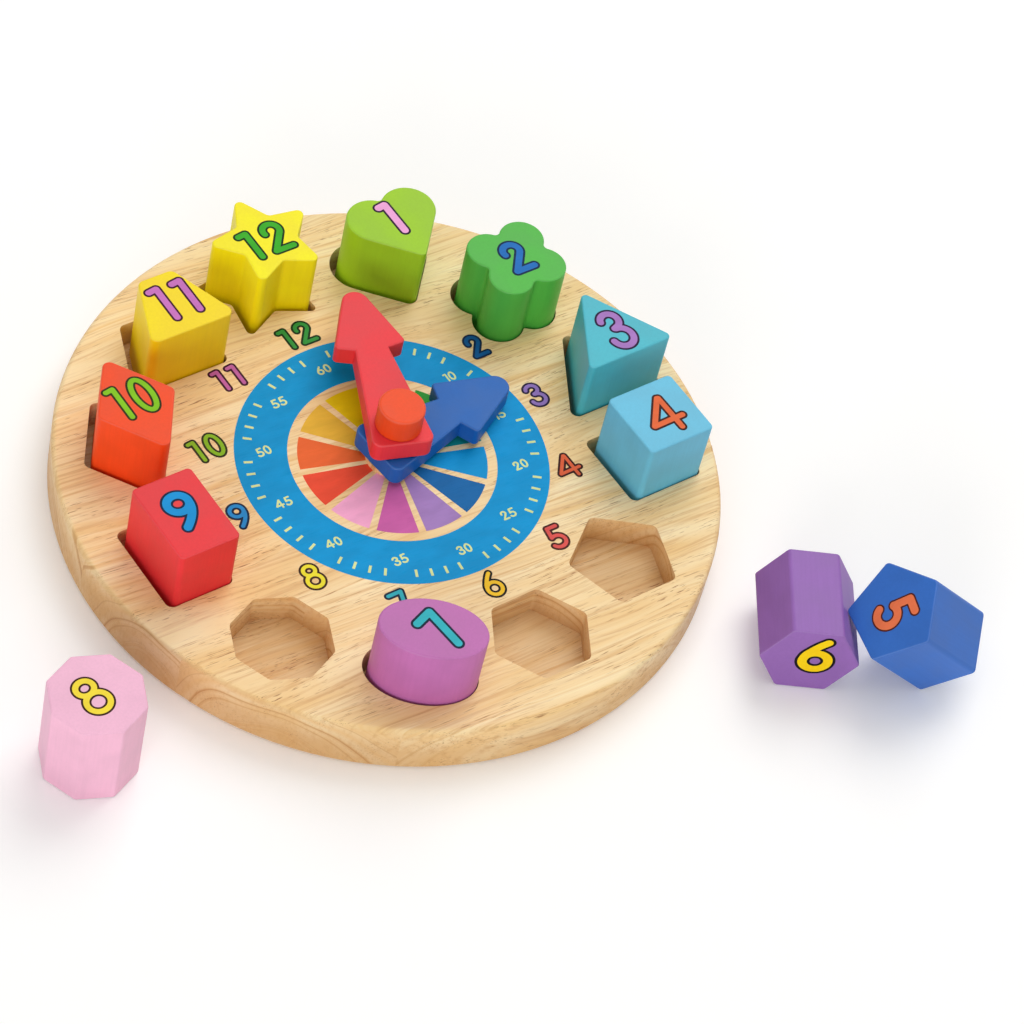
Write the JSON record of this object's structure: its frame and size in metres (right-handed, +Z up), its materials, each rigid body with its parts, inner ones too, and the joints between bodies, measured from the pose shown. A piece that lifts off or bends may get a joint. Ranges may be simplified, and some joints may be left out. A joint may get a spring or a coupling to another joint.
{
  "type": "teaching clock",
  "caption": "Round wooden teaching clock with turning hour and minute hands and numbered shape blocks that lift out of matching pockets.",
  "frame": {"origin": "centre of the board's flat underside", "axes": "+Z up through the hands' pivot, +Y towards 12 o'clock, +X towards 3 o'clock"},
  "size_m": [0.3798, 0.3461, 0.0588],
  "materials": {
    "natural_wood": "clear satin lacquer over pale edge-glued hardwood",
    "peg_orange": "satin paint on turned wood",
    "hand_red": "satin paint on wood",
    "hand_blue": "satin paint on wood",
    "paint_heart": "satin paint on wood",
    "paint_flower": "satin paint on wood",
    "paint_triangle": "satin paint on wood",
    "paint_square": "satin paint on wood",
    "paint_pentagon": "satin paint on wood",
    "paint_hexagon": "satin paint on wood",
    "paint_oval": "satin paint on wood",
    "paint_octagon": "satin paint on wood",
    "paint_rectangle": "satin paint on wood",
    "paint_rhombus": "satin paint on wood",
    "paint_trapezoid": "satin paint on wood",
    "paint_star": "satin paint on wood"
  },
  "bodies": {
    "board": {"board_stave_1": "natural_wood", "board_stave_2": "natural_wood", "board_stave_3": "natural_wood", "board_stave_4": "natural_wood", "board_stave_5": "natural_wood", "centre_peg": "peg_orange", "spacer_washer": "natural_wood", "hand_washer": "natural_wood"},
    "hour_hand_body": {"hour_hand": "hand_blue"},
    "minute_hand_body": {"minute_hand": "hand_red"},
    "heart_body": {"block_01_heart": "paint_heart"},
    "flower_body": {"block_02_flower": "paint_flower"},
    "triangle_body": {"block_03_triangle": "paint_triangle"},
    "square_body": {"block_04_square": "paint_square"},
    "pentagon_body": {"block_05_pentagon": "paint_pentagon"},
    "hexagon_body": {"block_06_hexagon": "paint_hexagon"},
    "oval_body": {"block_07_oval": "paint_oval"},
    "octagon_body": {"block_08_octagon": "paint_octagon"},
    "rectangle_body": {"block_09_rectangle": "paint_rectangle"},
    "rhombus_body": {"block_10_rhombus": "paint_rhombus"},
    "trapezoid_body": {"block_11_trapezoid": "paint_trapezoid"},
    "star_body": {"block_12_star": "paint_star"}
  },
  "joints": [
    {"name": "hour_turn", "type": "hinge", "parent": "board", "child": "hour_hand_body", "pos_m": [0, 0, 0.03225], "axis": [0, 0, 1], "continuous": true},
    {"name": "minute_turn", "type": "hinge", "parent": "board", "child": "minute_hand_body", "pos_m": [0, 0, 0.04225], "axis": [0, 0, 1], "continuous": true},
    {"name": "heart_lift", "type": "slide", "parent": "board", "child": "heart_body", "axis": [0, 0, 1], "range_m": [0, 0.04]},
    {"name": "flower_lift", "type": "slide", "parent": "board", "child": "flower_body", "axis": [0, 0, 1], "range_m": [0, 0.04]},
    {"name": "triangle_lift", "type": "slide", "parent": "board", "child": "triangle_body", "axis": [0, 0, 1], "range_m": [0, 0.04]},
    {"name": "square_lift", "type": "slide", "parent": "board", "child": "square_body", "axis": [0, 0, 1], "range_m": [0, 0.04]},
    {"name": "pentagon_lift", "type": "slide", "parent": "board", "child": "pentagon_body", "axis": [0, 0, 1], "range_m": [0, 0.04]},
    {"name": "hexagon_pull", "type": "slide", "parent": "board", "child": "hexagon_body", "axis": [-0.5635, -0.8261, 0], "range_m": [0, 0.06]},
    {"name": "oval_lift", "type": "slide", "parent": "board", "child": "oval_body", "axis": [0, 0, 1], "range_m": [0, 0.04]},
    {"name": "octagon_lift", "type": "slide", "parent": "board", "child": "octagon_body", "axis": [0, 0, 1], "range_m": [0, 0.04]},
    {"name": "rectangle_lift", "type": "slide", "parent": "board", "child": "rectangle_body", "axis": [0, 0, 1], "range_m": [0, 0.04]},
    {"name": "rhombus_lift", "type": "slide", "parent": "board", "child": "rhombus_body", "axis": [0, 0, 1], "range_m": [0, 0.04]},
    {"name": "trapezoid_lift", "type": "slide", "parent": "board", "child": "trapezoid_body", "axis": [0, 0, 1], "range_m": [0, 0.04]},
    {"name": "star_lift", "type": "slide", "parent": "board", "child": "star_body", "axis": [0, 0, 1], "range_m": [0, 0.04]}
  ]
}
